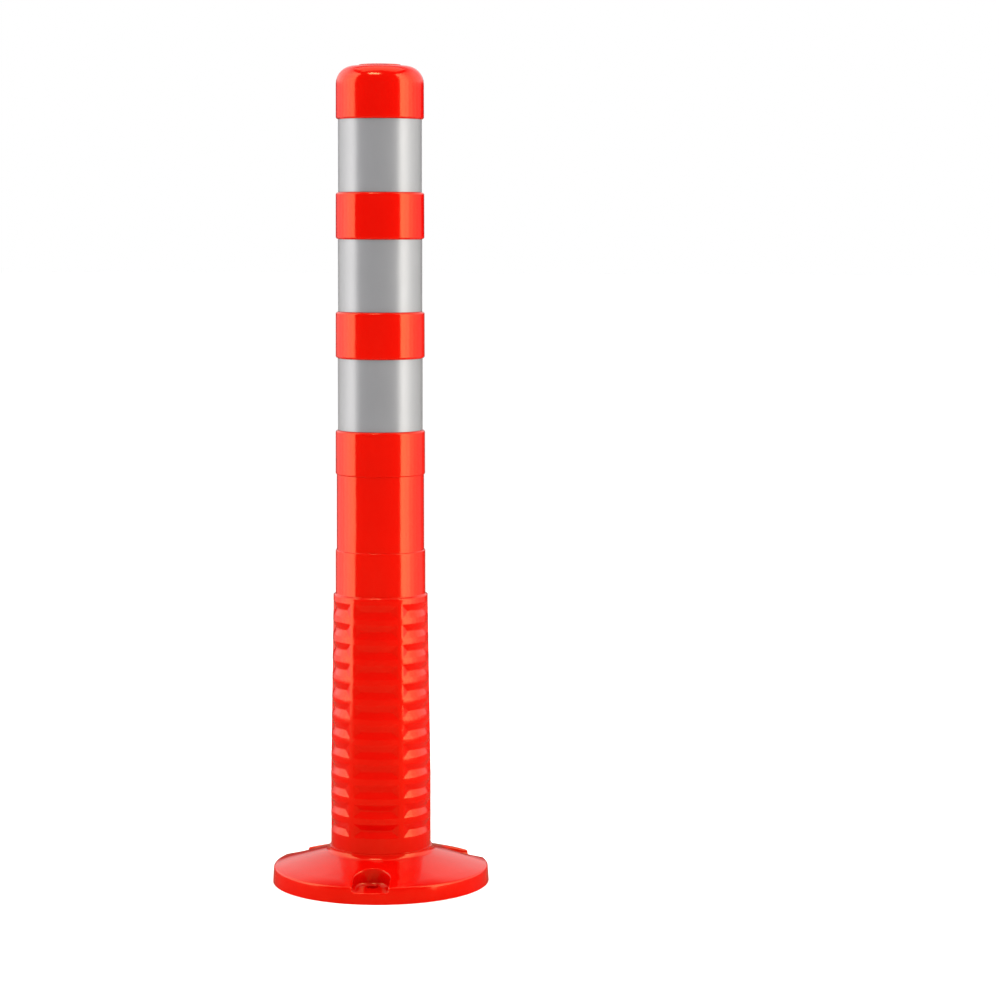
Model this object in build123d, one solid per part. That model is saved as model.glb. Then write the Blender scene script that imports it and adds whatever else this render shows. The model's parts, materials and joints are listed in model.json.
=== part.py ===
from build123d import *

"""Flexible delineator post, 750 mm tall, with three bolt pockets in its base.

Frame: millimetres, +Z up, origin on the ground at the post's axis. One bolt pocket
faces -Y, and the other two are a third of a turn to each side.
"""
import math
import os

# ---- Overall sizes ----
POST_HEIGHT = 750.0
BASE_DIAMETER = 200.0
TUBE_TOP_DIAMETER = 79.5
TUBE_DRAFT = 0.0032  # gain in radius for each millimetre down the smooth tube

# ---- Upper tube, from the top down ----
CAP_LENGTH = 49.0
BAND_LENGTH = 66.0
RING_LENGTH = 42.0
LOWEST_RING_LENGTH = 40.0
BAND_RECESS = 2.3
FILM_THICKNESS = 0.4
FILM_EDGE_GAP = 0.4
RING_EDGE_RADIUS = 2.0
WAIST_CHAMFER = 0.8
SHOULDER_RADIUS = 16.0
CAP_FLAT_DROP = 1.2  # the lip stands this much above the rounded cap
TOP_HOLE_DIAMETER = 34.0
TOP_LIP_WIDTH = 2.0
TOP_WALL = 3.5
WAIST_RECESS = 1.0

# ---- Ribbed flexible section, from the ground up ----
RIB_ROWS = 12
RIB_PITCH = 18.3
LOWEST_GROOVE_HEIGHT = 54.7
GROOVE_OPENING = 12.6
GROOVE_FLOOR = 1.2
GROOVE_DEPTH = 2.3
RIB_PANELS = 6
STRIP_WIDTH = 4.7  # plain strip between two panels of grooves
HIP_LENGTH = 6.4  # sloped end of a groove, measured round the tube
RIB_TOP_LAND = 13.0  # from the highest groove's centre to the collar
RIB_TOP_DIAMETER = 86.6
RIB_FOOT_DIAMETER = 92.4
RIB_TAPER_START = 100.0  # below this height the ribbed section is straight
COLLAR_LENGTH = 40.0
COLLAR_STEP = 1.2

# ---- Walls of the tube ----
FOOT_WALL = 3.6
RIB_WALL = 2.5  # left behind a groove
WAIST_WALL = 3.5
BAND_WALL = 2.8

# ---- Base flange ----
RIM_HEIGHT = 15.0
RIM_DRAFT = 0.8
RIM_EDGE_RADIUS = 2.5
CONE_TOP_HEIGHT = 29.5
SEAT_LIP_HEIGHT = 34.0
SEAT_LIP_WIDTH = 1.2
SEAT_FILLET_RADIUS = 5.0
SEAT_CLEARANCE = 0.05
HUB_WALL = 2.4
SKIN = 3.2
RIM_WALL = 3.8
RIB_WIDTH = 3.6
TUBE_END_HEIGHT = 1.0  # the tube stops this far above the ground

# ---- Bolt pockets ----
BOLT_COUNT = 3
BOLT_CIRCLE_DIAMETER = 150.0
BOLT_HOLE_DIAMETER = 11.0
BOLT_BOSS_DIAMETER = 19.0
POCKET_WIDTH = 33.0
POCKET_INNER_RADIUS = 64.0  # from the post's axis to the pocket's rounded end
POCKET_FLOOR_HEIGHT = 10.5
POCKET_WALL = 3.0
POCKET_FLOOR_RADIUS = 2.5
POCKET_EDGE_RADIUS = 1.2

# ---- Underside ribs ----
RING_RIB_RADII = (63.0, 82.5)
RIB_ANGLES = (15.0, 30.0, 60.0, 90.0, 105.0)  # from each bolt hole, in degrees
SPOKE_ANGLE = 15.0  # the ribs that the bolt boss's spokes run to

# ---- Bending stations ----
LOWER_HINGE_ROW = 2  # the tube bends about the land above this many grooves
UPPER_HINGE_ROW = 10

# ---- Worked-out sizes ----
RIB_TOP_HEIGHT = LOWEST_GROOVE_HEIGHT + (RIB_ROWS - 1) * RIB_PITCH + RIB_TOP_LAND
COLLAR_TOP_HEIGHT = RIB_TOP_HEIGHT + COLLAR_LENGTH
CAP_BOTTOM_HEIGHT = POST_HEIGHT - CAP_LENGTH
BAND_TOPS = tuple(CAP_BOTTOM_HEIGHT - k * (BAND_LENGTH + RING_LENGTH) for k in range(3))
WAIST_TOP_HEIGHT = BAND_TOPS[-1] - BAND_LENGTH - LOWEST_RING_LENGTH
SECTOR = 360.0 / BOLT_COUNT
BAND_NAMES = ("top", "middle", "bottom")
SPILL = 30.0  # how far a cutting tool runs past the material
MOUTH_CHECKS = (0.2, 0.5, 0.8)  # shares of an edge at which its place is looked at
MOUTH_MARGIN = 0.1
SAME = 0.01  # two sizes this near are the same
OVERRUN = 0.4  # share of a groove's depth that its tool runs past the land
HIP_OVERRUN = (0.6, 0.3)  # shares of a hip that its tool runs past its top and bottom


def land_above(row):
    """Height of the middle of the land above so many grooves."""
    return LOWEST_GROOVE_HEIGHT + (row - 0.5) * RIB_PITCH


LOWER_HINGE_HEIGHT = land_above(LOWER_HINGE_ROW + 1)
UPPER_HINGE_HEIGHT = land_above(UPPER_HINGE_ROW + 1)


def smooth_radius(z):
    """Outer radius of the smooth tube, which widens a little towards the ground."""
    return TUBE_TOP_DIAMETER / 2 + (POST_HEIGHT - z) * TUBE_DRAFT


def land_radius(z):
    """Outer radius of the ribbed section between its grooves."""
    share = (z - RIB_TAPER_START) / (RIB_TOP_HEIGHT - RIB_TAPER_START)
    share = min(max(share, 0.0), 1.0)
    return (RIB_FOOT_DIAMETER + share * (RIB_TOP_DIAMETER - RIB_FOOT_DIAMETER)) / 2


def band_floor_radius(top):
    """Radius of the recess that a reflective band is bonded into."""
    return smooth_radius(top - BAND_LENGTH / 2) - BAND_RECESS


def at(radius, degrees, height=0.0):
    """Point at a radius and a turn round the post, with zero degrees at -Y."""
    turn = math.radians(degrees - 90.0)
    return Vector(radius * math.cos(turn), radius * math.sin(turn), height)


def turned(outline):
    """Solid turned round the post's axis from an outline of (radius, height) points."""
    return revolve(make_face(Polyline(*[(r, 0, z) for r, z in outline], close=True)), Axis.Z)


def circle_edges(solid, radius, height):
    """The circular edges about the post's axis at one radius and height."""
    return [
        edge
        for edge in solid.edges().filter_by(GeomType.CIRCLE)
        if abs(edge.radius - radius) < SAME
        and abs(edge.arc_center.Z - height) < SAME
        and math.hypot(edge.arc_center.X, edge.arc_center.Y) < SAME
    ]


def slab(low, high):
    """Everything between two heights."""
    size = 2 * (BASE_DIAMETER + SPILL)
    return Pos(0, 0, (low + high) / 2) * Box(size, size, high - low)


# ---- Post tube ----
def tube_outline():
    """Outer line of the tube from the cap down to the ground, as (radius, height)."""
    drop = POST_HEIGHT - CAP_FLAT_DROP
    lip = TOP_HOLE_DIAMETER / 2 + TOP_LIP_WIDTH
    line = [(TOP_HOLE_DIAMETER / 2, POST_HEIGHT), (lip, POST_HEIGHT), (lip, drop)]
    line += [(smooth_radius(drop), drop)]
    for top in BAND_TOPS:
        floor = band_floor_radius(top)
        bottom = top - BAND_LENGTH
        line += [(smooth_radius(top), top), (floor, top), (floor, bottom)]
        line += [(smooth_radius(bottom), bottom)]
    waist = smooth_radius(WAIST_TOP_HEIGHT) - WAIST_RECESS
    waist_foot = smooth_radius(COLLAR_TOP_HEIGHT) - WAIST_RECESS
    line += [(smooth_radius(WAIST_TOP_HEIGHT), WAIST_TOP_HEIGHT + WAIST_CHAMFER)]
    line += [(waist, WAIST_TOP_HEIGHT), (waist_foot, COLLAR_TOP_HEIGHT)]
    line += [(smooth_radius(COLLAR_TOP_HEIGHT), COLLAR_TOP_HEIGHT - WAIST_CHAMFER)]
    line += [(smooth_radius(RIB_TOP_HEIGHT), RIB_TOP_HEIGHT)]
    line += [(land_radius(RIB_TOP_HEIGHT), RIB_TOP_HEIGHT - COLLAR_STEP)]
    line += [(land_radius(RIB_TAPER_START), RIB_TAPER_START)]
    return line + [(land_radius(TUBE_END_HEIGHT), TUBE_END_HEIGHT)]


def bore_outline():
    """Inner line of the tube from the ground up to the top hole, as (radius, height)."""
    behind_groove = GROOVE_DEPTH + RIB_WALL
    line = [(land_radius(TUBE_END_HEIGHT) - FOOT_WALL, TUBE_END_HEIGHT)]
    line += [(land_radius(SEAT_LIP_HEIGHT) - FOOT_WALL, SEAT_LIP_HEIGHT)]
    line += [(land_radius(LOWEST_GROOVE_HEIGHT) - behind_groove, LOWEST_GROOVE_HEIGHT)]
    line += [(land_radius(RIB_TAPER_START) - behind_groove, RIB_TAPER_START)]
    line += [(land_radius(RIB_TOP_HEIGHT) - behind_groove, RIB_TOP_HEIGHT)]
    waist = smooth_radius(WAIST_TOP_HEIGHT) - WAIST_RECESS - WAIST_WALL
    line += [(waist, WAIST_TOP_HEIGHT)]
    band_bore = band_floor_radius(BAND_TOPS[-1]) - BAND_WALL
    line += [(band_bore, BAND_TOPS[-1] - BAND_LENGTH)]
    inside_top = POST_HEIGHT - CAP_FLAT_DROP - TOP_WALL
    line += [(band_floor_radius(BAND_TOPS[0]) - BAND_WALL, inside_top)]
    return line + [(TOP_HOLE_DIAMETER / 2, inside_top)]


def panel_plan(radius, turn):
    """Plan of one panel of grooves, whose two slanted sides are the grooves' hips."""
    half_strip = math.degrees(STRIP_WIDTH / 2 / radius)
    hip = math.degrees(HIP_LENGTH / radius)
    half_panel = 180.0 / RIB_PANELS - half_strip
    corners = []
    for side in (-1, 1):
        edge = at(radius, turn + side * half_panel)
        apex = at(radius - GROOVE_DEPTH, turn + side * (half_panel - hip))
        along = edge - apex
        pair = [edge + along * HIP_OVERRUN[0], apex - along * HIP_OVERRUN[1]]
        corners += pair if side < 0 else pair[::-1]
    outside = radius + 3 * HIP_LENGTH
    corners += [at(outside, turn + half_panel / 2), at(outside, turn - half_panel / 2)]
    return make_face(Polyline(*corners, close=True))


def groove_row(height):
    """Cutting tool for one row of grooves: a turned V kept to the six panels."""
    radius = land_radius(height)
    half, floor = GROOVE_OPENING / 2, GROOVE_FLOOR / 2
    past = OVERRUN * GROOVE_DEPTH  # the V runs on past the land at the same slope
    wide = half + (half - floor) * past / GROOVE_DEPTH
    deep = radius - GROOVE_DEPTH
    ring = turned(
        [
            (deep, height - floor),
            (radius + past, height - wide),
            (radius + past, height + wide),
            (deep, height + floor),
        ]
    )
    low = Pos(0, 0, height - RIB_PITCH / 2)
    turns = [k * 360.0 / RIB_PANELS for k in range(RIB_PANELS)]
    return [ring & (low * extrude(panel_plan(radius, t), RIB_PITCH)) for t in turns]


def post_tube():
    """The whole tube, from its foot to its cap, before it is divided for bending."""
    tube = turned(tube_outline() + bore_outline())
    cap_height = POST_HEIGHT - CAP_FLAT_DROP
    shoulder = circle_edges(tube, smooth_radius(cap_height), cap_height)
    tube = fillet(shoulder, SHOULDER_RADIUS)
    for height in [top - drop for top in BAND_TOPS for drop in (0, BAND_LENGTH)]:
        edge = circle_edges(tube, smooth_radius(height), height)
        tube = fillet(edge, RING_EDGE_RADIUS)
    inside_height = cap_height - TOP_WALL
    inside_radius = band_floor_radius(BAND_TOPS[0]) - BAND_WALL
    inside = circle_edges(tube, inside_radius, inside_height)
    tube = fillet(inside, SHOULDER_RADIUS - TOP_WALL)
    for row in range(RIB_ROWS):
        for tool in groove_row(LOWEST_GROOVE_HEIGHT + row * RIB_PITCH):
            tube -= tool
    return tube


def reflective_band(top):
    """A band of reflective film, bonded round the floor of its recess."""
    inner = band_floor_radius(top)
    high, low = top - FILM_EDGE_GAP, top - BAND_LENGTH + FILM_EDGE_GAP
    ring = Cylinder(inner + FILM_THICKNESS, high - low) - Cylinder(inner, high - low)
    return Pos(0, 0, (high + low) / 2) * ring


# ---- Base flange ----
def seat_radius():
    """Radius of the socket that the tube's foot sits in."""
    return land_radius(SEAT_LIP_HEIGHT) + SEAT_CLEARANCE


def cone_height(radius):
    """Height of the base's sloping top at a radius."""
    rim = BASE_DIAMETER / 2 - RIM_DRAFT
    foot = seat_radius() + SEAT_LIP_WIDTH
    return RIM_HEIGHT + (rim - radius) / (rim - foot) * (CONE_TOP_HEIGHT - RIM_HEIGHT)


def flange_block():
    """The base's outer shape as one solid block."""
    outer = BASE_DIAMETER / 2
    foot = seat_radius() + SEAT_LIP_WIDTH
    outline = [(0, 0), (outer, 0), (outer - RIM_DRAFT, RIM_HEIGHT)]
    outline += [(foot, CONE_TOP_HEIGHT), (foot, SEAT_LIP_HEIGHT), (0, SEAT_LIP_HEIGHT)]
    block = turned(outline)
    rim_edge = circle_edges(block, outer - RIM_DRAFT, RIM_HEIGHT)
    block = fillet(rim_edge, RIM_EDGE_RADIUS)
    return fillet(circle_edges(block, foot, CONE_TOP_HEIGHT), SEAT_FILLET_RADIUS)


def flange_hollow():
    """The space under the base's skin, between its rim and its hub."""
    outer, hub = BASE_DIAMETER / 2 - RIM_WALL, seat_radius() + HUB_WALL
    low = cone_height(outer) - SKIN
    high = cone_height(hub) - SKIN
    return turned([(hub, -1), (outer, -1), (outer - RIM_DRAFT, low), (hub, high)])


def radial_rib(degrees, start, end):
    """Plan of a straight rib from one radius to another."""
    a, b = at(start, degrees), at(end, degrees)
    return straight_rib(a, b)


def straight_rib(a, b):
    """Plan of a straight rib between two points."""
    middle = (a + b) * 0.5
    run = b - a
    turn = math.degrees(math.atan2(run.Y, run.X))
    return Pos(middle.X, middle.Y) * Rot(0, 0, turn) * Rectangle(run.length, RIB_WIDTH)


def sector_ribs(hole):
    """Plans of the ribs of one third of the base, and of the spokes at its bolt boss."""
    hub, rim = seat_radius() + HUB_WALL / 2, BASE_DIAMETER / 2 - RIM_WALL / 2
    plans = [radial_rib(hole + a, hub, rim) for a in RIB_ANGLES]
    centre = at(BOLT_CIRCLE_DIAMETER / 2, hole)
    for side in (-SPOKE_ANGLE, SPOKE_ANGLE):
        beside = BOLT_CIRCLE_DIAMETER / 2 * math.cos(math.radians(SPOKE_ANGLE))
        for radius in (hub, beside, rim):
            plans.append(straight_rib(centre, at(radius, hole + side)))
    plans.append(radial_rib(hole, BOLT_CIRCLE_DIAMETER / 2, rim))
    return plans


def ring_rib(radius, hole):
    """Plan of the part of a ring rib that runs from one bolt pocket to the next."""
    ring = Circle(radius + RIB_WIDTH / 2) - Circle(radius - RIB_WIDTH / 2)
    far = 2 * BASE_DIAMETER
    ends = [at(far, hole + SPOKE_ANGLE), at(far, hole + SECTOR / 2)]
    ends += [at(far, hole + SECTOR - SPOKE_ANGLE)]
    return ring & make_face(Polyline(Vector(0, 0, 0), *ends, close=True))


def underside_ribs():
    """Every rib under the base, trimmed to the space under its skin."""
    plan = Sketch()
    for k in range(BOLT_COUNT):
        hole = k * SECTOR
        for rib in sector_ribs(hole):
            plan += rib
        for radius in RING_RIB_RADII:
            plan += ring_rib(radius, hole)
        centre = at(BOLT_CIRCLE_DIAMETER / 2, hole)
        plan += Pos(centre.X, centre.Y) * Circle(BOLT_BOSS_DIAMETER / 2)
    return extrude(plan, CONE_TOP_HEIGHT) & flange_hollow()


def pocket_plan(grow):
    """U-shaped plan of a bolt pocket at -Y, open to the rim, made larger by grow."""
    half = POCKET_WIDTH / 2
    centre = -(POCKET_INNER_RADIUS + half)
    length = BASE_DIAMETER / 2 + centre + SPILL
    straight = Pos(0, centre - length / 2) * Rectangle(POCKET_WIDTH + 2 * grow, length)
    return straight + Pos(0, centre) * Circle(half + grow)


def pocket_space(turn):
    """The open space of one bolt pocket, with the edges of its floor rounded."""
    space = Pos(0, 0, POCKET_FLOOR_HEIGHT) * extrude(pocket_plan(0), SEAT_LIP_HEIGHT)
    bottom = space.faces().sort_by(Axis.Z)[0]
    outermost = bottom.edges().sort_by(Axis.Y)[0]
    rounded = [edge for edge in bottom.edges() if edge != outermost]
    return Rot(0, 0, turn) * fillet(rounded, POCKET_FLOOR_RADIUS)


def outer_gap(point):
    """How far a point is from the base's outer surface, leaving its fillets out."""
    radius = math.hypot(point.X, point.Y)
    rim = BASE_DIAMETER / 2 - RIM_DRAFT * point.Z / RIM_HEIGHT
    return min(abs(rim - radius), abs(cone_height(radius) - point.Z))


def on_pocket_mouth(edge, turn):
    """True for an edge of the mouth of the pocket at that turn, on the outer surface."""
    spots = [Rot(0, 0, -turn) * Pos(edge @ share) for share in MOUTH_CHECKS]
    return all(
        abs(spot.position.X) < POCKET_WIDTH / 2 + MOUTH_MARGIN
        and spot.position.Y < MOUTH_MARGIN - POCKET_INNER_RADIUS
        and outer_gap(spot.position) < RIM_EDGE_RADIUS / 2
        for spot in spots
    )


def pocketed_block():
    """The base's outer block with its three pockets, their mouths rounded."""
    block = flange_block()
    for k in range(BOLT_COUNT):
        block -= pocket_space(k * SECTOR)
    for k in range(BOLT_COUNT):
        mouth = [edge for edge in block.edges() if on_pocket_mouth(edge, k * SECTOR)]
        block = fillet(mouth, POCKET_EDGE_RADIUS)
    return block


def base_flange():
    """The ribbed base with its three bolt pockets and the socket for the tube."""
    block = flange_block()
    flange = block - flange_hollow() + underside_ribs()
    bolt_reach = Cylinder(BOLT_HOLE_DIAMETER / 2, 2 * SPILL)
    for k in range(BOLT_COUNT):
        turn = Rot(0, 0, k * SECTOR)
        shell = Pos(0, 0, POCKET_FLOOR_HEIGHT - POCKET_WALL) * extrude(
            pocket_plan(POCKET_WALL), SEAT_LIP_HEIGHT
        )
        flange += (turn * shell) & block
    flange = flange & pocketed_block()
    for k in range(BOLT_COUNT):
        centre = at(BOLT_CIRCLE_DIAMETER / 2, k * SECTOR)
        flange -= Pos(centre.X, centre.Y) * bolt_reach
    return flange - Cylinder(seat_radius(), 4 * SPILL)


def write(name, shape):
    """Write one node's STEP file."""
    shape.label = name
    export_step(shape, f"parts/{name}.step")


def main():
    """Build every node and write it."""
    os.makedirs("parts", exist_ok=True)
    tube = post_tube()
    write("base_flange", base_flange())
    write("post_foot", tube & slab(0, LOWER_HINGE_HEIGHT))
    write("post_flex_section", tube & slab(LOWER_HINGE_HEIGHT, UPPER_HINGE_HEIGHT))
    write("post_upper", tube & slab(UPPER_HINGE_HEIGHT, POST_HEIGHT + SPILL))
    for name, top in zip(BAND_NAMES, BAND_TOPS):
        write(f"reflective_band_{name}", reflective_band(top))
    print(f"hinge heights {LOWER_HINGE_HEIGHT:.2f} and {UPPER_HINGE_HEIGHT:.2f}")


main()
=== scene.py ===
import json
import logging
import math
from dataclasses import dataclass
from enum import Enum
from typing import Any, Sequence

import bpy
import numpy as np
from mathutils import Euler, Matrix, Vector


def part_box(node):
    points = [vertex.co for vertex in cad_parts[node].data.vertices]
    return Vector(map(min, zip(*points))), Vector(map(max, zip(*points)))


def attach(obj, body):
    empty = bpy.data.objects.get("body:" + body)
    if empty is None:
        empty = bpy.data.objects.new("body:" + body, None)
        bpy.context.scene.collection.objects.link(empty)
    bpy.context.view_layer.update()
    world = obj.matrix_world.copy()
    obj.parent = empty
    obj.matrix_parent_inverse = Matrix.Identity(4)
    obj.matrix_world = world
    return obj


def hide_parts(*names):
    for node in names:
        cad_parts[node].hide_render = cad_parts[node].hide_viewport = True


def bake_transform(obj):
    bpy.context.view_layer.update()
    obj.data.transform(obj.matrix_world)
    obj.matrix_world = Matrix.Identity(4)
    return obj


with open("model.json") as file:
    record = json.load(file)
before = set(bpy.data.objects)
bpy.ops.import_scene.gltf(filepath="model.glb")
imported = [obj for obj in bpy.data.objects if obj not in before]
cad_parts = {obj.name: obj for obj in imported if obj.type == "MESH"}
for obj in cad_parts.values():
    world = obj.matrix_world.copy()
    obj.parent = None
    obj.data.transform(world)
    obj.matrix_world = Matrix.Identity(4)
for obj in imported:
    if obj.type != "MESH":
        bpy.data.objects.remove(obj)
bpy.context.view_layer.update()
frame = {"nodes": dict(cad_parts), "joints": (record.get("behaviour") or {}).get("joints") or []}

LOG = logging.getLogger("delineator")
Material = bpy.types.Material
Object = bpy.types.Object
Array = np.ndarray
Point = tuple[float, float, float]
Corner = tuple[float, float, float]

KEPT_REACH = 0.96  # largest share of a run that a rounded corner takes
LEAD_SHARES = (0.3, 0.4)  # point beside an arc: share of its reach, and of the free run
SMALLEST_RUN = 1e-12
DIGITS = 9  # angles and heights that agree to these decimals are one
HAIR = 1e-6  # heights this near are the same
WHITE = (1.0, 1.0, 1.0, 1.0)


class Slot(Enum):
    """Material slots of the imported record."""

    MOULDING = "tpu_orange"
    FILM = "reflective_film"


class Node(Enum):
    """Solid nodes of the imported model."""

    BASE = "base_flange"
    FOOT = "post_foot"
    FLEX = "post_flex_section"
    UPPER = "post_upper"
    FILM_TOP = "reflective_band_top"
    FILM_MIDDLE = "reflective_band_middle"
    FILM_BOTTOM = "reflective_band_bottom"


class Body(Enum):
    """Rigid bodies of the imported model."""

    BASE = "base"
    FLEX = "flex_section"
    UPPER = "upper_post"


# ---------------------------------------------------------------- meshes
def rounded_line(corners: Sequence[Corner], steps: int) -> Array:
    """Line of (radius, height) points whose corners are circular arcs.

    A corner is a rational quadratic curve from a point before it to a point after it,
    weighted by the cosine of half the turn, which is an arc of a circle. Its reach is
    cut to the room that its neighbours leave. One more point on each side keeps the
    shading of the straight runs level.

    Args:
        corners: (radius, height, reach) of each corner, reach 0 for a sharp one.
        steps: Points along each arc.

    Returns:
        The points, shape (n, 2).
    """
    data = np.array(corners, float)
    spots, reach = data[:, :2], data[:, 2].copy()
    before = np.vstack([spots[0], spots[:-1]]) - spots
    after = np.vstack([spots[1:], spots[-1]]) - spots
    run_in = np.maximum(np.linalg.norm(before, axis=1), SMALLEST_RUN)
    run_out = np.maximum(np.linalg.norm(after, axis=1), SMALLEST_RUN)
    before, after = before / run_in[:, None], after / run_out[:, None]
    reach[[0, -1]] = 0.0
    spare_in = run_in - np.concatenate([[0.0], reach[:-1]])
    spare_out = run_out - np.concatenate([reach[1:], [0.0]])
    room = KEPT_REACH * np.minimum(spare_in, spare_out)
    reach = np.maximum(np.minimum(reach, room), 0.0)
    free_in = np.maximum(run_in - reach - np.concatenate([[0.0], reach[:-1]]), 0.0)
    free_out = np.maximum(run_out - reach - np.concatenate([reach[1:], [0.0]]), 0.0)
    weight = np.sqrt(np.clip((1 - (before * after).sum(1)) / 2, 0.0, 1.0))
    t = np.linspace(0, 1, steps)[None, :]
    share = [(1 - t) ** 2, 2 * weight[:, None] * t * (1 - t), t**2]
    total = (share[0] + share[1] + share[2])[..., None]
    start = (spots + before * reach[:, None])[:, None, :]
    end = (spots + after * reach[:, None])[:, None, :]
    arc = share[0][..., None] * start + share[1][..., None] * spots[:, None, :]
    arc = (arc + share[2][..., None] * end) / total
    of_reach, of_run = LEAD_SHARES
    lead_in = (reach + np.minimum(of_reach * reach, of_run * free_in))[:, None]
    lead_out = (reach + np.minimum(of_reach * reach, of_run * free_out))[:, None]
    lead = (spots + before * lead_in)[:, None, :]
    trail = (spots + after * lead_out)[:, None, :]
    rows = np.concatenate([lead, arc, trail], axis=1)
    keep = reach > 0
    pieces = [rows[k] if keep[k] else spots[k : k + 1] for k in range(len(spots))]
    return np.vstack(pieces)


def turned_points(radii: Array, heights: Array, turns: Array) -> Array:
    """Points of a turned surface, whose radius may also change round the axis.

    x is radius times sin(turn), y is minus radius times cos(turn), so that turn 0
    faces -Y and grows towards +X.

    Args:
        radii: Radius of each point, shape (rows, columns).
        heights: Height of each row.
        turns: Angle of each column in radians.

    Returns:
        Points, shape (rows, columns, 3).
    """
    x = radii * np.sin(turns)[None, :]
    y = -radii * np.cos(turns)[None, :]
    z = np.broadcast_to(heights[:, None], radii.shape)
    return np.stack([x, y, z], axis=-1)


def ring_faces(rows: int, columns: int, flip: Array | None = None) -> Array:
    """Triangles of a grid that closes on itself both ways.

    Args:
        rows: Rows of the grid, the last joined to the first.
        columns: Columns of the grid, the last joined to the first.
        flip: True where a cell is split along its other diagonal.

    Returns:
        Vertex numbers, shape (triangles, 3).
    """
    i, j = np.meshgrid(np.arange(rows), np.arange(columns), indexing="ij")
    up, on = (i + 1) % rows, (j + 1) % columns
    a, b = i * columns + j, i * columns + on
    c, d = up * columns + on, up * columns + j
    plain = np.stack([np.stack([a, b, c], -1), np.stack([a, c, d], -1)], axis=2)
    other = np.stack([np.stack([a, b, d], -1), np.stack([b, c, d], -1)], axis=2)
    if flip is None:
        return plain.reshape(-1, 3)
    return np.where(flip[:, :, None, None], other, plain).reshape(-1, 3)


def mesh_piece(
    name: str, points: Array, faces: Array, sharp_rows: Sequence[int] = ()
) -> Object:
    """Put a grid of points and its triangles into a new object at the origin.

    Args:
        name: The piece's name.
        points: Points of the grid, shape (rows, columns, 3).
        faces: Triangles, shape (n, 3).
        sharp_rows: Rows whose edges stay sharp.

    Returns:
        The new object.
    """
    columns = points.shape[1]
    flat = points.reshape(-1, 3)
    mesh = bpy.data.meshes.new(name)
    mesh.vertices.add(len(flat))
    mesh.vertices.foreach_set("co", flat.astype(np.float32).ravel())
    mesh.loops.add(faces.size)
    mesh.loops.foreach_set("vertex_index", faces.astype(np.int32).ravel())
    mesh.polygons.add(len(faces))
    starts = np.arange(0, faces.size, 3, dtype=np.int32)
    mesh.polygons.foreach_set("loop_start", starts)
    mesh.update(calc_edges=True)
    mesh.validate()
    mesh.polygons.foreach_set("use_smooth", np.ones(len(mesh.polygons), bool))
    if len(sharp_rows):
        ends = np.zeros(len(mesh.edges) * 2, np.int32)
        mesh.edges.foreach_get("vertices", ends)
        row = ends.reshape(-1, 2) // columns
        sharp = (row[:, 0] == row[:, 1]) & np.isin(row[:, 0], np.array(sharp_rows))
        layer = mesh.attributes.new("sharp_edge", "BOOLEAN", "EDGE")
        layer.data.foreach_set("value", sharp)
    mesh.update()
    piece = bpy.data.objects.new(name, mesh)
    bpy.context.scene.collection.objects.link(piece)
    return piece


def soft_least(a: Array, b: Array, blend: float) -> Array:
    """Smaller of a and b, rounded where they meet: half of a + b - root((a-b)^2 + k^2)."""
    return (a + b - np.sqrt((a - b) ** 2 + blend**2)) / 2


def soft_ramp(a: Array, blend: float) -> Array:
    """a where it is above 0 and 0 below, rounded: half of a + root(a^2 + k^2)."""
    return (a + np.sqrt(a**2 + blend**2)) / 2


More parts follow.
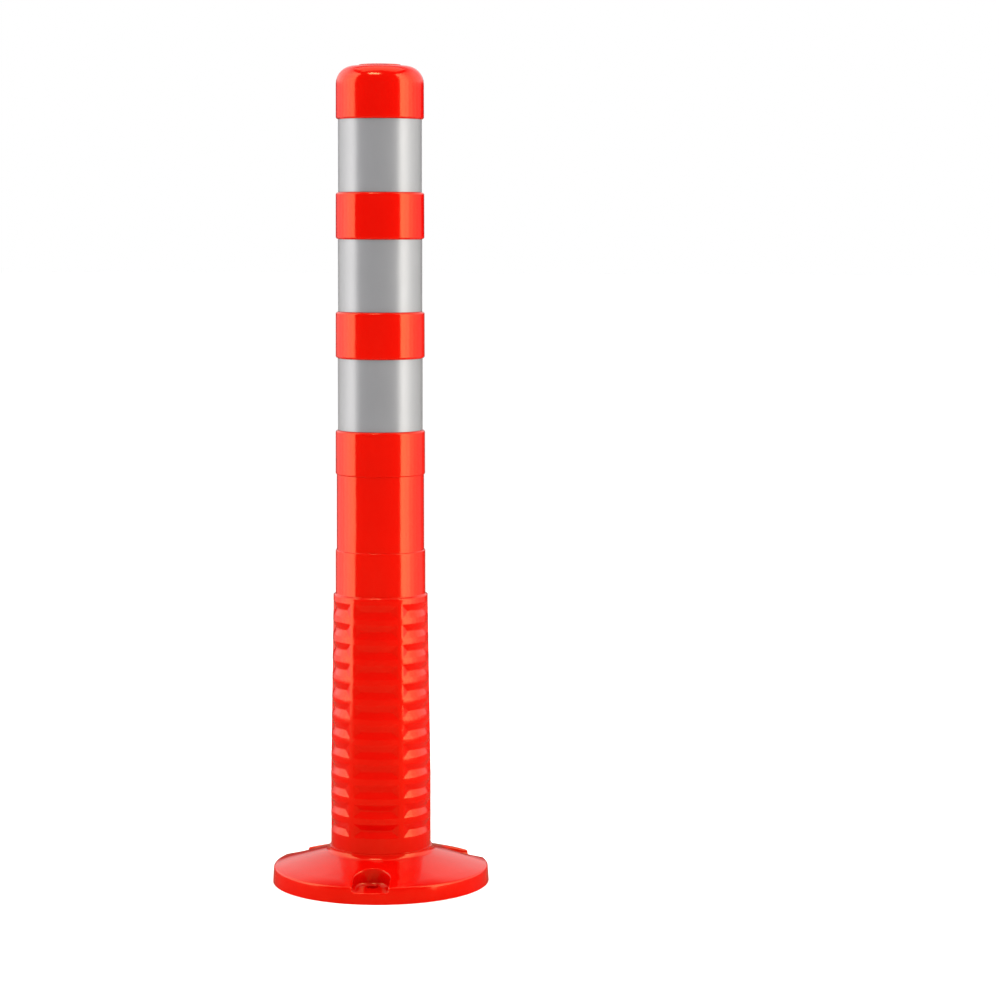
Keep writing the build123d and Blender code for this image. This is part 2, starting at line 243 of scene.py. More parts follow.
# ---------------------------------------------------------------- finishes
@dataclass(frozen=True)
class Recipe:
    """Small helper that wires a node material."""

    material: Material

    @classmethod
    def start(cls, name: str) -> "Recipe":
        """An empty node material of that name with its shader and output."""
        material = bpy.data.materials.new(name)
        material.use_nodes = True
        material.node_tree.nodes.clear()
        recipe = cls(material)
        shader = recipe.node("ShaderNodeBsdfPrincipled")
        output = recipe.node("ShaderNodeOutputMaterial")
        recipe.join(shader, "BSDF", output, "Surface")
        return recipe

    @property
    def shader(self) -> Any:
        """The material's main shader."""
        nodes = self.material.node_tree.nodes
        return next(n for n in nodes if n.type == "BSDF_PRINCIPLED")

    def node(self, kind: str, **values: Any) -> Any:
        """A new node, with properties or input sockets set by name."""
        made = self.material.node_tree.nodes.new(kind)
        for key, value in values.items():
            if hasattr(made, key):
                setattr(made, key, value)
            else:
                made.inputs[key.replace("_", " ")].default_value = value
        return made

    def join(self, source: Any, out: str | int, target: Any, into: str | int) -> None:
        """Link one node's output to another's input."""
        self.material.node_tree.links.new(source.outputs[out], target.inputs[into])

    def place(self, scale: Point = (1.0, 1.0, 1.0)) -> Any:
        """A Mapping node that stretches the object's own coordinates."""
        coords = self.node("ShaderNodeTexCoord")
        mapping = self.node("ShaderNodeMapping")
        mapping.inputs["Scale"].default_value = scale
        self.join(coords, "Object", mapping, "Vector")
        return mapping

    def noise(self, mapping: Any, scale: float, detail: float, rough: float) -> Any:
        """A noise texture on a mapping."""
        made = self.node("ShaderNodeTexNoise", Scale=scale, Detail=detail, Roughness=rough)
        self.join(mapping, "Vector", made, "Vector")
        return made

    def ramp(self, source: Any, out: str, low: float, high: float) -> Any:
        """A Map Range node from a 0 to 1 output to low and high."""
        made = self.node("ShaderNodeMapRange")
        made.inputs["To Min"].default_value = low
        made.inputs["To Max"].default_value = high
        self.join(source, out, made, "Value")
        return made

    def mix(self, factor: Any, out: str, first: Point, second: Point) -> Any:
        """A colour mix between two constant colours."""
        made = self.node("ShaderNodeMix", data_type="RGBA")
        made.inputs[6].default_value = (*first, 1.0)
        made.inputs[7].default_value = (*second, 1.0)
        self.join(factor, out, made, 0)
        return made

    def bump(
        self, source: Any, out: str, strength: float, distance: float, under: Any = None
    ) -> Any:
        """A bump node on a height output, over another bump if given."""
        made = self.node("ShaderNodeBump", Strength=strength, Distance=distance)
        self.join(source, out, made, "Height")
        if under is not None:
            self.join(under, "Normal", made, "Normal")
        return made


@dataclass(frozen=True)
class MouldedOrange:
    """Glossy fluorescent orange polyurethane, as it comes out of a polished mould."""

    name: str = "moulded_orange"
    deep: Point = (0.455, 0.0006, 0.0002)
    bright: Point = (0.515, 0.0014, 0.0003)
    glint: Point = (1.0, 0.74, 0.30)
    ior: float = 1.5
    roughness: tuple[float, float] = (0.10, 0.16)
    clouds: Point = (22.0, 3.0, 0.55)  # scale, detail and roughness of each noise
    smears: Point = (60.0, 4.0, 0.6)
    smear_stretch: Point = (1.0, 1.0, 0.25)
    waves: Point = (45.0, 1.0, 0.4)
    wave_bump: tuple[float, float] = (0.25, 0.0010)  # strength and distance
    peel: Point = (900.0, 2.0, 0.5)
    peel_bump: tuple[float, float] = (0.12, 0.00006)

    def build(self) -> Material:
        """Make the node material.

        Returns:
            The material.
        """
        recipe = Recipe.start(self.name)
        shader = recipe.shader
        shader.inputs["IOR"].default_value = self.ior
        shader.inputs["Specular Tint"].default_value = (*self.glint, 1.0)
        place = recipe.place()
        cloudy = recipe.noise(place, *self.clouds)
        colour = recipe.mix(cloudy, "Fac", self.deep, self.bright)
        recipe.join(colour, 2, shader, "Base Color")
        smear = recipe.noise(recipe.place(self.smear_stretch), *self.smears)
        gloss = recipe.ramp(smear, "Fac", *self.roughness)
        recipe.join(gloss, "Result", shader, "Roughness")
        waves = recipe.noise(place, *self.waves)
        peel = recipe.noise(place, *self.peel)
        broad = recipe.bump(waves, "Fac", *self.wave_bump)
        fine = recipe.bump(peel, "Fac", *self.peel_bump, broad)
        recipe.join(fine, "Normal", shader, "Normal")
        return recipe.material


@dataclass(frozen=True)
class ReflectiveFilm:
    """Silver-grey retroreflective sheeting with its fine cell pattern."""

    name: str = "reflective_sheeting"
    silver: Point = (0.272, 0.275, 0.292)
    shade: Point = (0.245, 0.247, 0.262)
    metallic: float = 0.35
    ior: float = 1.5
    roughness: tuple[float, float] = (0.28, 0.36)
    clouds: Point = (30.0, 3.0, 0.5)  # scale, detail and roughness of each noise
    brushing: Point = (220.0, 2.0, 0.5)
    brush_stretch: Point = (1.0, 1.0, 0.1)
    cell_scale: float = 420.0
    cell_bump: tuple[float, float] = (0.15, 0.0002)  # strength and distance

    def build(self) -> Material:
        """Make the node material.

        Returns:
            The material.
        """
        recipe = Recipe.start(self.name)
        shader = recipe.shader
        shader.inputs["Metallic"].default_value = self.metallic
        shader.inputs["IOR"].default_value = self.ior
        place = recipe.place()
        cloudy = recipe.noise(place, *self.clouds)
        colour = recipe.mix(cloudy, "Fac", self.shade, self.silver)
        recipe.join(colour, 2, shader, "Base Color")
        brushed = recipe.noise(recipe.place(self.brush_stretch), *self.brushing)
        gloss = recipe.ramp(brushed, "Fac", *self.roughness)
        recipe.join(gloss, "Result", shader, "Roughness")
        cells = recipe.node(
            "ShaderNodeTexVoronoi", feature="DISTANCE_TO_EDGE", Scale=self.cell_scale
        )
        recipe.join(place, "Vector", cells, "Vector")
        walls = recipe.bump(cells, "Distance", *self.cell_bump)
        recipe.join(walls, "Normal", shader, "Normal")
        return recipe.material


@dataclass(frozen=True)
class StudioFloor:
    """Plain pale studio floor, quite matt, and darker in reflections."""

    name: str = "studio_floor"
    colour: Point = (0.97, 0.97, 0.97)
    mirrored: Point = (0.10, 0.085, 0.06)
    roughness: float = 0.9

    def build(self) -> Material:
        """Make the node material.

        Returns:
            The material.
        """
        recipe = Recipe.start(self.name)
        shader = recipe.shader
        shader.inputs["Base Color"].default_value = (*self.colour, 1.0)
        shader.inputs["Roughness"].default_value = self.roughness
        shader.inputs["Specular IOR Level"].default_value = 0.0
        dim = recipe.node("ShaderNodeBsdfDiffuse")
        dim.inputs["Color"].default_value = (*self.mirrored, 1.0)
        path = recipe.node("ShaderNodeLightPath")
        either = recipe.node("ShaderNodeMixShader")
        nodes = recipe.material.node_tree.nodes
        output = next(n for n in nodes if n.type == "OUTPUT_MATERIAL")
        recipe.join(path, "Is Glossy Ray", either, 0)
        recipe.join(shader, "BSDF", either, 1)
        recipe.join(dim, "BSDF", either, 2)
        recipe.join(either, "Shader", output, "Surface")
        return recipe.material


# ---------------------------------------------------------------- post tube
@dataclass
class PostTube:
    """The hollow flexible tube, made as two pieces that meet in the middle of a land."""

    finish: Material
    top: float = 0.750
    foot: float = 0.001
    top_radius: float = 0.03975
    draft: float = 0.0032  # gain in radius for each metre down the smooth tube
    cap_length: float = 0.049
    band_count: int = 3
    band_length: float = 0.066
    ring_length: float = 0.042
    lowest_ring_length: float = 0.040
    band_recess: float = 0.0023
    ring_edge: float = 0.0020
    shoulder: float = 0.016
    lip_rise: float = 0.0012
    hole_radius: float = 0.017
    lip_width: float = 0.002
    top_wall: float = 0.0035
    waist_recess: float = 0.001
    rib_rows: int = 12
    rib_pitch: float = 0.0183
    lowest_groove: float = 0.0547
    groove_opening: float = 0.0126
    groove_floor: float = 0.0012
    groove_depth: float = 0.0023
    panels: int = 6
    strip_width: float = 0.0047
    hip_length: float = 0.0064
    rib_top_land: float = 0.013
    rib_top_radius: float = 0.0433
    rib_foot_radius: float = 0.0462
    rib_taper_start: float = 0.100
    collar_length: float = 0.040
    collar_step: float = 0.0012
    foot_wall: float = 0.0036
    rib_wall: float = 0.0025
    waist_wall: float = 0.0035
    band_wall: float = 0.0028
    seat_height: float = 0.034
    collar_edges: tuple[float, float] = (0.0009, 0.0006)  # at its foot and on its step
    waist_edge: float = 0.0007
    waist_slope: float = 0.0002
    waist_floor_edge: float = 0.0003
    recess_edge: float = 0.0002
    lip_edge: float = 0.0005
    hole_edge: float = 0.0006
    inside_edges: Point = (0.004, 0.006, 0.004)  # below the bands, waist and collar
    foot_edge: float = 0.0006
    seat_middle: float = 0.020
    plain_top: float = 0.044
    first_rib_row: float = 0.0445
    last_row_gaps: Point = (0.0015, 0.0012, 0.0011)  # below the collar's step
    extra_rows: int = 4
    bore_start: float = 0.005
    lower_bore_rows: int = 22
    upper_bore_rows: int = 18
    longest_span: float = 0.008
    arc_steps: int = 9
    rounding: float = 0.08
    middle_columns: int = 8
    slope_steps: tuple[float, ...] = (0.0, 0.05, 0.12, 0.25, 0.42, 0.58, 0.75, 0.88, 0.95, 1.0)
    land_steps: tuple[float, ...] = (0.05, 0.14)
    reach_below: float = 0.065
    reach_above: float = 0.062

    def smooth_radius(self, z: float) -> float:
        """Outer radius of the smooth tube, which widens a little towards the ground."""
        return self.top_radius + (self.top - z) * self.draft

    def land_radius(self, z: Array | float) -> Array:
        """Outer radius between the grooves: a straight taper above rib_taper_start."""
        taper = self.rib_top - self.rib_taper_start
        rise = (np.asarray(z, float) - self.rib_taper_start) / taper
        share = np.clip(rise, 0.0, 1.0)
        return self.rib_foot_radius + share * (self.rib_top_radius - self.rib_foot_radius)

    @property
    def rib_top(self) -> float:
        """Height of the top of the ribbed section."""
        return self.lowest_groove + (self.rib_rows - 1) * self.rib_pitch + self.rib_top_land

    @property
    def meeting_height(self) -> float:
        """Height of the land where the two pieces meet, half way up the ribs."""
        return self.lowest_groove + (self.rib_rows / 2 + 0.5) * self.rib_pitch

    @property
    def band_tops(self) -> list[float]:
        """Heights of the tops of the three recesses for film."""
        first = self.top - self.cap_length
        pitch = self.band_length + self.ring_length
        return [first - k * pitch for k in range(self.band_count)]

    @property
    def waist_top(self) -> float:
        """Height of the top of the waist, where the lowest ring starts."""
        return self.band_tops[-1] - self.band_length - self.lowest_ring_length

    def band_floor(self, top: float) -> float:
        """Radius of the floor of the recess whose top is at that height."""
        return self.smooth_radius(top - self.band_length / 2) - self.band_recess

    def columns(self) -> tuple[Array, Array]:
        """Angles of the columns, and how far each is inside its panel.

        Inside is 0 at a panel's edge, 1 where a groove has its full depth, and
        negative on the plain strip: (half panel - |angle from its centre|) / hip.

        Returns:
            Angles in radians from -Y, and the inside measure of each.
        """
        radius = (self.rib_top_radius + self.rib_foot_radius) / 2
        half = math.pi / self.panels - self.strip_width / 2 / radius
        hip = self.hip_length / radius
        slope = half - np.array(self.slope_steps) * hip
        strip = half + np.array(self.land_steps) * hip
        inner = np.linspace(-1, 1, self.middle_columns + 1)[1:-1] * (half - hip)
        one = [-strip, -slope, inner, slope, strip, [math.pi / self.panels]]
        one = np.unique(np.round(np.concatenate(one), DIGITS))
        turns = (np.arange(self.panels)[:, None] * 2 * math.pi / self.panels + one).ravel()
        inside = np.tile((half - np.abs(one)) / hip, self.panels)
        return turns, inside

    def groove_heights(self) -> Array:
        """Heights of the ribbed section's rows, closest where a slope starts or ends."""
        half = self.groove_opening / 2
        run = half - self.groove_floor / 2
        slope = half - np.array(self.slope_steps) * run
        land = half + np.array(self.land_steps) * run
        one = np.concatenate([-land, -slope, [0.0], slope, land, [self.rib_pitch / 2]])
        one = np.unique(np.round(one, DIGITS))
        centres = self.lowest_groove + np.arange(self.rib_rows) * self.rib_pitch
        return (centres[:, None] + one).ravel()

    def ribbed_radii(self, heights: Array, inside: Array) -> Array:
        """Outer radius over the ribbed section.

        The depth of a groove is its full depth times the least of three measures:
        the distance in from its lower or upper edge over its slope, the distance in
        from its panel's edge over its hip, and 1. All three are rounded together.

        Args:
            heights: Heights of the rows.
            inside: How far each column is inside its panel.

        Returns:
            Radii, shape (rows, columns).
        """
        run = (self.groove_opening - self.groove_floor) / 2
        row = np.round((heights - self.lowest_groove) / self.rib_pitch)
        row = np.clip(row, 0, self.rib_rows - 1)
        off = np.abs(heights - self.lowest_groove - row * self.rib_pitch)
        across = (self.groove_opening / 2 - off) / run
        share = soft_least(across[:, None], inside[None, :], self.rounding)
        share = soft_least(share, np.ones_like(share), self.rounding)
        share = soft_ramp(share, self.rounding)
        return self.land_radius(heights)[:, None] - self.groove_depth * share

    def cell_flips(self, heights: Array, turns: Array) -> Array:
        """True where a cell's crease runs the other way, so hips keep a clean edge."""
        middle = (heights + np.roll(heights, -1)) / 2
        up = np.mod(middle - self.lowest_groove + self.rib_pitch / 2, self.rib_pitch)
        step = 2 * math.pi / self.panels
        centre = turns + (np.mod(np.roll(turns, -1) - turns, 2 * math.pi)) / 2
        along = np.mod(centre + step / 2, step)
        above, after = np.sign(up - self.rib_pitch / 2), np.sign(along - step / 2)
        return above[:, None] * after[None, :] < 0

    def collar_and_waist(self) -> list[Corner]:
        """Corners of the outer line from the collar's foot to the lowest ring."""
        collar = self.rib_top + self.collar_length
        foot_edge, step_edge = self.collar_edges
        sunk, slope = self.waist_recess, self.waist_slope
        ribs = float(self.land_radius(self.rib_top))
        line = [(ribs, self.rib_top - self.collar_step, foot_edge)]
        line += [(self.smooth_radius(self.rib_top), self.rib_top, step_edge)]
        line += [(self.smooth_radius(collar), collar, self.waist_edge)]
        floor = self.smooth_radius(collar) - sunk
        line += [(floor, collar + slope, self.waist_floor_edge)]
        floor = self.smooth_radius(self.waist_top) - sunk
        line += [(floor, self.waist_top - slope, self.waist_floor_edge)]
        return line + [(self.smooth_radius(self.waist_top), self.waist_top, self.waist_edge)]

    def rings_and_bands(self) -> list[Corner]:
        """Corners of the outer line up the rings and the recesses between them."""
        line = []
        for top in reversed(self.band_tops):
            low = top - self.band_length
            floor = self.band_floor(top)
            line += [(self.smooth_radius(low), low, self.ring_edge)]
            line += [(floor, low, self.recess_edge), (floor, top, self.recess_edge)]
            line += [(self.smooth_radius(top), top, self.ring_edge)]
        return line

    def cap_and_inside(self) -> list[Corner]:
        """Corners over the cap's shoulder and lip, through its hole and down the inside."""
        flat = self.top - self.lip_rise
        inside_top = flat - self.top_wall
        lip = self.hole_radius + self.lip_width
        highest, lowest = self.band_tops[0], self.band_tops[-1]
        band_edge, waist_edge, collar_edge = self.inside_edges
        line = [(self.smooth_radius(flat), flat, self.shoulder)]
        line += [(lip, flat, self.lip_edge), (lip, self.top, self.lip_edge)]
        line += [(self.hole_radius, self.top, self.hole_edge)]
        line += [(self.hole_radius, inside_top, self.hole_edge)]
        bore = self.band_floor(highest) - self.band_wall
        line += [(bore, inside_top, self.shoulder - self.top_wall)]
        bore = self.band_floor(lowest) - self.band_wall
        line += [(bore, lowest - self.band_length, band_edge)]
        bore = self.smooth_radius(self.waist_top) - self.waist_recess - self.waist_wall
        line += [(bore, self.waist_top, waist_edge)]
        return line + [(self.bore_radius(self.rib_top), self.rib_top, collar_edge)]

    def upper_outline(self) -> Array:
        """Outer line above the ribs, over the cap, down through its hole to the inside."""
        line = self.collar_and_waist() + self.rings_and_bands() + self.cap_and_inside()
        return rounded_line(line, self.arc_steps)

    def bore_radius(self, z: float) -> float:
        """Inner radius behind the ribs."""
        return float(self.land_radius(z)) - self.groove_depth - self.rib_wall

    def shell(
        self, name: str, outer_z: Array, outer_r: Array, rest: Array, cut_above: bool
    ) -> Object:
        """Close an outer wall with the rest of its section and make it a piece.

        Args:
            name: The piece's name.
            outer_z: Heights of the ribbed rows, upwards.
            outer_r: Radii of the ribbed rows, shape (rows, columns).
            rest: (radius, height) points that lead back to the first ribbed row.
            cut_above: True where the last ribbed row meets the piece above.

        Returns:
            The piece.
        """
        turns, _ = self.columns()
        radii = np.vstack([outer_r, np.repeat(rest[:, :1], len(turns), axis=1)])
        heights = np.concatenate([outer_z, rest[:, 1]])
        flips = self.cell_flips(heights, turns)
        flips[len(outer_z) - 1 :] = False
        points = turned_points(radii, heights, turns)
        faces = ring_faces(len(heights), len(turns), flips)
        ends = [0, len(heights) - 1]
        if cut_above:
            ends += [len(outer_z) - 1, len(outer_z)]
        piece = mesh_piece(name, points, faces, ends)
        piece.data.materials.append(self.finish)
        return piece

    def build_lower(self) -> Object:
        """The foot and the lower half of the ribs.

        Returns:
            The piece.
        """
        turns, inside = self.columns()
        meet = self.meeting_height
        rows = self.groove_heights()
        rows = rows[rows < meet - HAIR]
        low = [self.foot, self.foot + self.foot_edge, self.seat_middle]
        low += [self.seat_height, self.plain_top]
        heights = np.concatenate([low, rows[rows > self.first_rib_row], [meet]])
        radii = self.ribbed_radii(heights, inside)
        radii[: len(low)] = float(self.land_radius(0.0))
        seat = float(self.land_radius(self.seat_height)) - self.foot_wall
        marks = np.linspace(meet, self.lowest_groove, self.lower_bore_rows)
        bore = np.array([[self.bore_radius(z), z] for z in marks])
        foot = np.array([[seat, z] for z in (self.seat_height, self.seat_middle, self.foot)])
        piece = self.shell("tube_lower", heights, radii, np.vstack([bore, foot]), True)
        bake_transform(piece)
        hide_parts(Node.FOOT.value, Node.FLEX.value)
        return piece

    def build_upper(self) -> Object:
        """The upper half of the ribs and the smooth tube.

        Returns:
            The piece.
        """
        turns, inside = self.columns()
        meet = self.meeting_height
        rows = self.groove_heights()
        step = self.rib_top - self.collar_step
        row_gap, outline_gap, extra_gap = self.last_row_gaps
        rows = rows[(rows > meet + HAIR) & (rows < step - row_gap)]
        extra = np.linspace(rows[-1], step - extra_gap, self.extra_rows)[1:]
        heights = np.concatenate([[meet], rows, extra])
        radii = self.ribbed_radii(heights, inside)
        outline = self.upper_outline()
        above = outline[:, 1] > step - outline_gap
        outline = outline[above | (np.arange(len(outline)) > self.arc_steps + 1)]
        marks = np.linspace(self.rib_top - self.bore_start, meet, self.upper_bore_rows)
        bore = np.array([[self.bore_radius(z), z] for z in marks])
        rest = self.with_spans(np.vstack([outline, bore]))
        piece = self.shell("tube_upper", heights, radii, rest, False)
        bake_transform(piece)
        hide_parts(Node.UPPER.value)
        return piece

    def with_spans(self, line: Array) -> Array:
        """Divide the long runs of a line in the bending zone, so that they can curve.

        Args:
            line: (radius, height) points.

        Returns:
            The line with more points.
        """
        longest = self.longest_span
        top = self.hinge_height("bend_left_right") + self.reach_above + longest
        parts = [line[:1]]
        for start, end in zip(line[:-1], line[1:]):
            needed = max(1, math.ceil(np.linalg.norm(end - start) / longest))
            count = needed if min(start[1], end[1]) < top else 1
            share = np.linspace(0, 1, count + 1)[1:, None]
            parts.append(start + (end - start) * share)
        return np.vstack(parts)

    @staticmethod
    def hinge_height(name: str) -> float:
        """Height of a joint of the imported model."""
        joint = next(j for j in frame["joints"] if j["name"] == name)
        return float(joint["pos_m"][2])


# ---------------------------------------------------------------- film
@dataclass
class FilmBand:
    """One band of reflective sheeting, whose ends overlap at the back."""

    node: Node
    finish: Material
    lap: float = 0.006
    lap_ends: float = 1.2  # share of the lap at which its rise has run out
    rise: float = 0.00012
    thickness: float = 0.0004
    edge: float = 0.00015
    edge_reach: float = 0.0001
    arc_steps: int = 3
    columns: int = 160

    def build(self) -> Object:
        """Make the band from its node's box.

        Returns:
            The piece.
        """
        low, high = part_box(self.node.value)
        outer = high.x
        inner, edge, face = outer - self.thickness, outer - self.edge, outer - self.rise
        line = [(edge, low.z, 0.0), (face, low.z, self.edge_reach)]
        line += [(face, high.z, self.edge_reach), (edge, high.z, 0.0)]
        line += [(inner, high.z, 0.0), (inner, low.z, 0.0)]
        section = rounded_line(line, self.arc_steps)
        turns = np.linspace(0, 2 * math.pi, self.columns, endpoint=False)
        lap = self.lap / outer
        off = np.abs(turns - math.pi) / lap
        lift = self.rise * np.clip(self.lap_ends - off, 0.0, 1.0)
        radii = np.repeat(section[:, :1], self.columns, axis=1)
        radii[: len(section) - 2] += lift[None, :]
        points = turned_points(radii, section[:, 1], turns)
        name = self.node.value.replace("reflective_band", "film")
        last = len(section) - 1
        faces = ring_faces(len(section), self.columns)
        piece = mesh_piece(name, points, faces, (last - 1, last, 0))
        piece.data.materials.append(self.finish)
        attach(piece, Body.UPPER.value)
        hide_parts(self.node.value)
        return piece


# ---------------------------------------------------------------- base
@dataclass
class BaseFlange:
    """The ribbed base flange with its three bolt pockets."""

    finish: Material
    smooth_angle: float = 32.0
    weld_distance: float = 0.00001

    def build(self) -> Object:
        """Weld a copy of the solid's mesh, so that its curved faces shade smoothly.

        Returns:
            The piece.
        """
        source = frame["nodes"][Node.BASE.value]
        mesh = source.data.copy()
        mesh.name = "base_moulding"
        piece = bpy.data.objects.new("base_moulding", mesh)
        bpy.context.scene.collection.objects.link(piece)
        weld = piece.modifiers.new("weld", "WELD")
        weld.merge_threshold = self.weld_distance
        depsgraph = bpy.context.evaluated_depsgraph_get()
        merged = bpy.data.meshes.new_from_object(piece.evaluated_get(depsgraph))
        piece.modifiers.clear()
        piece.data = merged
        merged.polygons.foreach_set("use_smooth", np.ones(len(merged.polygons), bool))
        merged.set_sharp_from_angle(angle=math.radians(self.smooth_angle))
        merged.materials.clear()
        merged.materials.append(self.finish)
        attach(piece, Body.BASE.value)
        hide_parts(Node.BASE.value)
        return piece


# ---------------------------------------------------------------- studio
@dataclass(frozen=True)
class SoftBox:
    """A rectangular light that faces the post.

    degrees is its direction from the post, from the camera's side towards +X, away its
    horizontal distance, height that of its centre and aim that of the point it faces.
    """

    name: str
    degrees: float
    away: float
    size: tuple[float, float]
    height: float
    power: float
    colour: Point
    aim: float

    def build(self, bearing: float) -> None:
        """Make the light, turned with the camera.

        Args:
            bearing: The camera's direction from the post in degrees.
        """
        light = bpy.data.lights.new(self.name, "AREA")
        light.shape = "RECTANGLE"
        light.size, light.size_y = self.size
        light.energy = self.power
        light.color = self.colour
        lamp = bpy.data.objects.new(self.name, light)
        bpy.context.scene.collection.objects.link(lamp)
        turn = math.radians(self.degrees + bearing)
        spot = Vector((self.away * math.sin(turn), -self.away * math.cos(turn), self.height))
        lamp.location = spot
        facing = Vector((0.0, 0.0, self.aim)) - spot
        lamp.rotation_euler = facing.to_track_quat("-Z", "Y").to_euler()
        lamp.visible_camera = False


@dataclass(frozen=True)
class CurvedBox:
    """A curved soft box of upright strips round the post, each with its own brightness.

    It runs from start to end, directions in degrees as a SoftBox's, and levels are the
    radiances of its strips. A strip's power is 4 times its level times its area.
    """

    name: str
    start: float
    end: float
    levels: tuple[float, ...]
    colour: Point
    away: float = 1.2
    height: float = 2.2
    middle: float = 1.0

    def strips(self) -> list[SoftBox]:
        """The strips, from start to end."""
        step = (self.end - self.start) / len(self.levels)
        size = (2 * self.away * math.tan(math.radians(abs(step)) / 2), self.height)
        boxes = []
        for k, level in enumerate(self.levels):
            power = 4 * level * size[0] * size[1]
            place = (self.start + (k + 0.5) * step, self.away, size, self.middle)
            boxes.append(SoftBox(f"{self.name}_{k}", *place, power, self.colour, self.middle))
        return boxes


SIDE_BOXES = (
    CurvedBox("left_box", -68.0, -150.0, (3.0, 2.6, 1.8, 1.0, 0.6, 0.4), (1.0, 0.98, 0.93)),
    CurvedBox("right_box", 53.0, 134.0, (4.0, 3.2, 1.7, 0.9, 0.5, 0.3), (1.0, 0.97, 0.88)),
)
HIGH_BOXES = (
    SoftBox("top_box", -21.0, 1.1, (0.80, 0.34), 2.45, 15.0, (1.0, 0.97, 0.90), 0.7),
    SoftBox("sky_box", 180.0, 0.35, (1.8, 1.3), 2.3, 11.0, (1.0, 0.93, 0.80), 0.7),
)


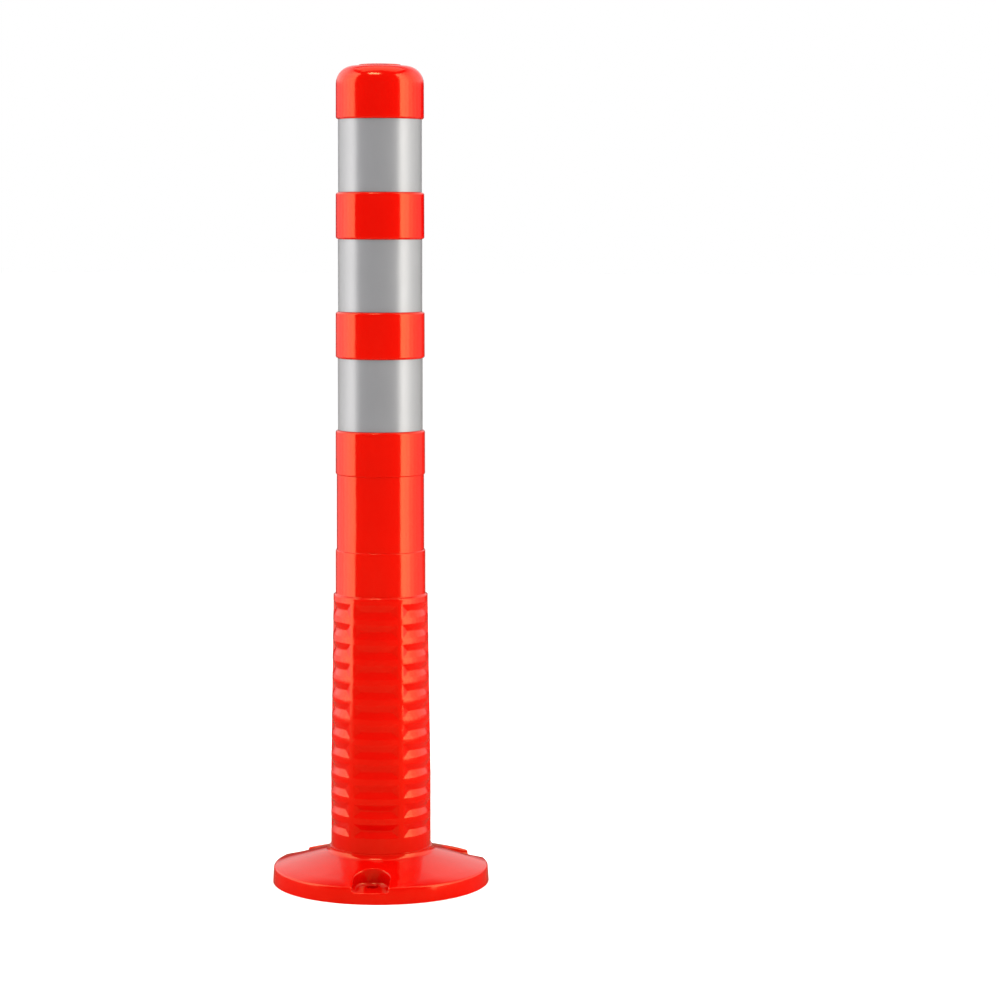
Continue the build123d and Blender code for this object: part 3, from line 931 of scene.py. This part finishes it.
@dataclass
class Studio:
    """Pale floor, white surroundings, soft boxes and the camera."""

    distance: float = 2.597
    eye_height: float = 0.611
    pitch: float = 5.63
    bearing: float = 6.0
    turn: float = 2.41
    roll: float = 0.15
    lens: float = 102.4
    sensor_width: float = 36.0
    sight: float = 100.0
    floor_size: float = 60.0
    cast_strength: float = 1.04
    mirrored_strength: float = 0.012
    wall_strength: float = 0.85
    wall_start: tuple[float, float] = (0.05, 0.45)
    wall_foot: tuple[float, float] = (0.05, 0.16)
    wall_top: tuple[float, float] = (0.80, 0.55)

    def build(self) -> None:
        """Make the floor, the world, the lights and the camera."""
        self.make_floor()
        self.make_world()
        self.make_lights()
        self.make_camera()

    def make_floor(self) -> None:
        """A plain square of floor at the ground."""
        half = self.floor_size / 2
        mesh = bpy.data.meshes.new("floor")
        corners = [(-half, -half, 0), (half, -half, 0), (half, half, 0), (-half, half, 0)]
        mesh.from_pydata(corners, [], [(0, 1, 2, 3)])
        mesh.update()
        floor = bpy.data.objects.new("floor", mesh)
        floor.data.materials.append(StudioFloor().build())
        bpy.context.scene.collection.objects.link(floor)

    def make_world(self) -> None:
        """White surroundings that light the scene evenly, and are dim in reflections."""
        world = bpy.data.worlds.new("studio")
        world.use_nodes = True
        tree = world.node_tree
        tree.nodes.clear()
        seen = self.background(tree, 1.0)
        cast = self.background(tree, self.cast_strength)
        mirrored = self.background(tree, 1.0)
        self.backdrop(tree, mirrored)
        path = tree.nodes.new("ShaderNodeLightPath")
        given = tree.nodes.new("ShaderNodeMixShader")
        blend = tree.nodes.new("ShaderNodeMixShader")
        output = tree.nodes.new("ShaderNodeOutputWorld")
        tree.links.new(path.outputs["Is Glossy Ray"], given.inputs["Fac"])
        tree.links.new(cast.outputs["Background"], given.inputs[1])
        tree.links.new(mirrored.outputs["Background"], given.inputs[2])
        tree.links.new(path.outputs["Is Camera Ray"], blend.inputs["Fac"])
        tree.links.new(given.outputs["Shader"], blend.inputs[1])
        tree.links.new(seen.outputs["Background"], blend.inputs[2])
        tree.links.new(blend.outputs["Shader"], output.inputs["Surface"])
        bpy.context.scene.world = world

    @staticmethod
    def background(tree: Any, strength: float) -> Any:
        """A white background shader of that strength."""
        shader = tree.nodes.new("ShaderNodeBackground")
        shader.inputs["Color"].default_value = WHITE
        shader.inputs["Strength"].default_value = strength
        return shader

    def backdrop(self, tree: Any, mirrored: Any) -> None:
        """Reflections see a bright wall low down behind the post, and dim room elsewhere.

        The wall is the product of three smooth steps of the ray's direction: one along
        Y, and two along Z for its foot and its top.

        Args:
            tree: The world's node tree.
            mirrored: The background shader whose strength is set.
        """
        coords = tree.nodes.new("ShaderNodeTexCoord")
        axes = tree.nodes.new("ShaderNodeSeparateXYZ")
        tree.links.new(coords.outputs["Generated"], axes.inputs["Vector"])
        wall = self.rise(tree, axes.outputs["Y"], *self.wall_start)
        for edge in (self.wall_foot, self.wall_top):
            both = tree.nodes.new("ShaderNodeMath")
            both.operation = "MULTIPLY"
            tree.links.new(wall, both.inputs[0])
            tree.links.new(self.rise(tree, axes.outputs["Z"], *edge), both.inputs[1])
            wall = both.outputs[0]
        level = tree.nodes.new("ShaderNodeMapRange")
        level.inputs["To Min"].default_value = self.mirrored_strength
        level.inputs["To Max"].default_value = self.wall_strength
        tree.links.new(wall, level.inputs["Value"])
        tree.links.new(level.outputs["Result"], mirrored.inputs["Strength"])

    @staticmethod
    def rise(tree: Any, value: Any, start: float, end: float) -> Any:
        """A smooth step from 0 at start to 1 at end."""
        step = tree.nodes.new("ShaderNodeMapRange")
        step.interpolation_type = "SMOOTHSTEP"
        step.inputs["From Min"].default_value = min(start, end)
        step.inputs["From Max"].default_value = max(start, end)
        step.inputs["To Min"].default_value = 0.0 if start < end else 1.0
        step.inputs["To Max"].default_value = 1.0 if start < end else 0.0
        tree.links.new(value, step.inputs["Value"])
        return step.outputs["Result"]

    def make_lights(self) -> None:
        """A tall curved box at each side, a small one high in front, a wide one overhead."""
        for side in SIDE_BOXES:
            for strip in side.strips():
                strip.build(self.bearing)
        for box in HIGH_BOXES:
            box.build(self.bearing)

    def make_camera(self) -> None:
        """A long lens a little above the middle of the post, turned to its right."""
        scene = bpy.context.scene
        data = bpy.data.cameras.new("camera")
        data.lens = self.lens
        data.sensor_width = self.sensor_width
        data.clip_end = self.sight
        camera = bpy.data.objects.new("camera", data)
        scene.collection.objects.link(camera)
        side = math.radians(self.bearing)
        away = (self.distance * math.sin(side), -self.distance * math.cos(side))
        camera.location = (*away, self.eye_height)
        tilt, pan = math.radians(90.0 - self.pitch), math.radians(self.bearing - self.turn)
        level = Euler((tilt, 0.0, pan)).to_matrix()
        rolled = level @ Euler((0.0, 0.0, math.radians(self.roll))).to_matrix()
        camera.rotation_euler = rolled.to_euler()
        scene.camera = camera
        scene.view_settings.view_transform = "Standard"
        scene.view_settings.look = "None"


def report(piece: Object) -> None:
    """Log a piece's name and its number of triangles."""
    piece.data.calc_loop_triangles()
    LOG.info("%s: %d triangles", piece.name, len(piece.data.loop_triangles))


def main() -> None:
    """Build the studio and every piece in order."""
    logging.basicConfig(level=logging.INFO, format="%(name)s %(message)s")
    Studio().build()
    orange = MouldedOrange().build()
    silver = ReflectiveFilm().build()
    tube = PostTube(orange)
    report(tube.build_lower())
    report(tube.build_upper())
    for node in (Node.FILM_TOP, Node.FILM_MIDDLE, Node.FILM_BOTTOM):
        report(FilmBand(node, silver).build())
    report(BaseFlange(orange).build())


if __name__ == "__main__":
    main()
